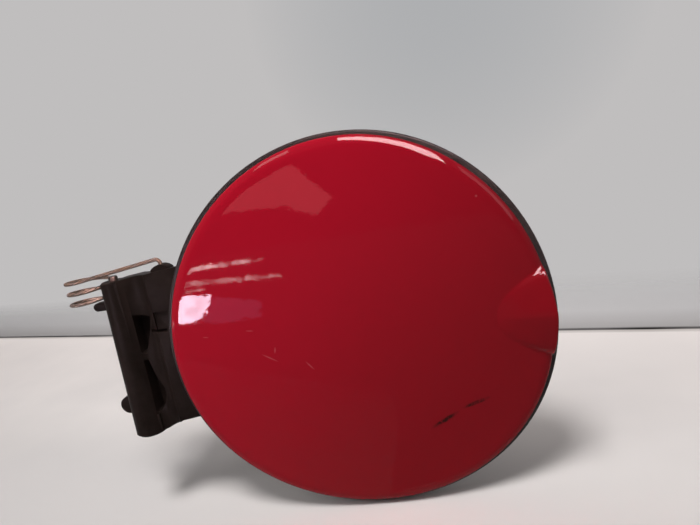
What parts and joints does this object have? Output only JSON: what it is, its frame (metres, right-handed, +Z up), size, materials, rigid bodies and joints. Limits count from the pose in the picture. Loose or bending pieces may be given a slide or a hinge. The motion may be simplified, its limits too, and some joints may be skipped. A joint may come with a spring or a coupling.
{
  "type": "car fuel door",
  "caption": "Round car fuel door: painted domed cover with a raised finger lip on a black inner panel, carried by a sprung gooseneck hinge with a screwed base.",
  "frame": {"origin": "midway between the two fixing holes, on the base's face that is screwed to the car body", "axes": "+Z up the hinge pin, the painted face looks to -Y, +X from the hinge to the finger lip"},
  "size_m": [0.2261, 0.0428, 0.1734],
  "materials": {
    "body_paint": "red body paint under clear coat on a plastic moulding",
    "panel_plastic": "black moulded plastic, fine grain",
    "arm_plastic": "brown-black glass-filled plastic, worn satin",
    "screw_steel": "zinc plated steel",
    "pin_steel": "dull steel with light rust",
    "spring_steel": "dull spring steel with brown rust",
    "stop_rubber": "black rubber"
  },
  "bodies": {
    "base": {"hinge_base": "arm_plastic", "hinge_spring": "spring_steel"},
    "door": {"outer_cover": "body_paint", "inner_panel": "panel_plastic", "hinge_arm": "arm_plastic", "arm_screws": "screw_steel", "hinge_pin": "pin_steel", "latch_striker": "panel_plastic", "striker_screws": "screw_steel", "upper_stop": "stop_rubber", "lower_stop": "stop_rubber"}
  },
  "joints": [
    {"name": "door_hinge", "type": "hinge", "parent": "base", "child": "door", "pos_m": [-0.0105, -0.024, 0], "axis": [0, 0, -1], "range_deg": [0, 95], "deforming": ["hinge_spring"]}
  ]
}
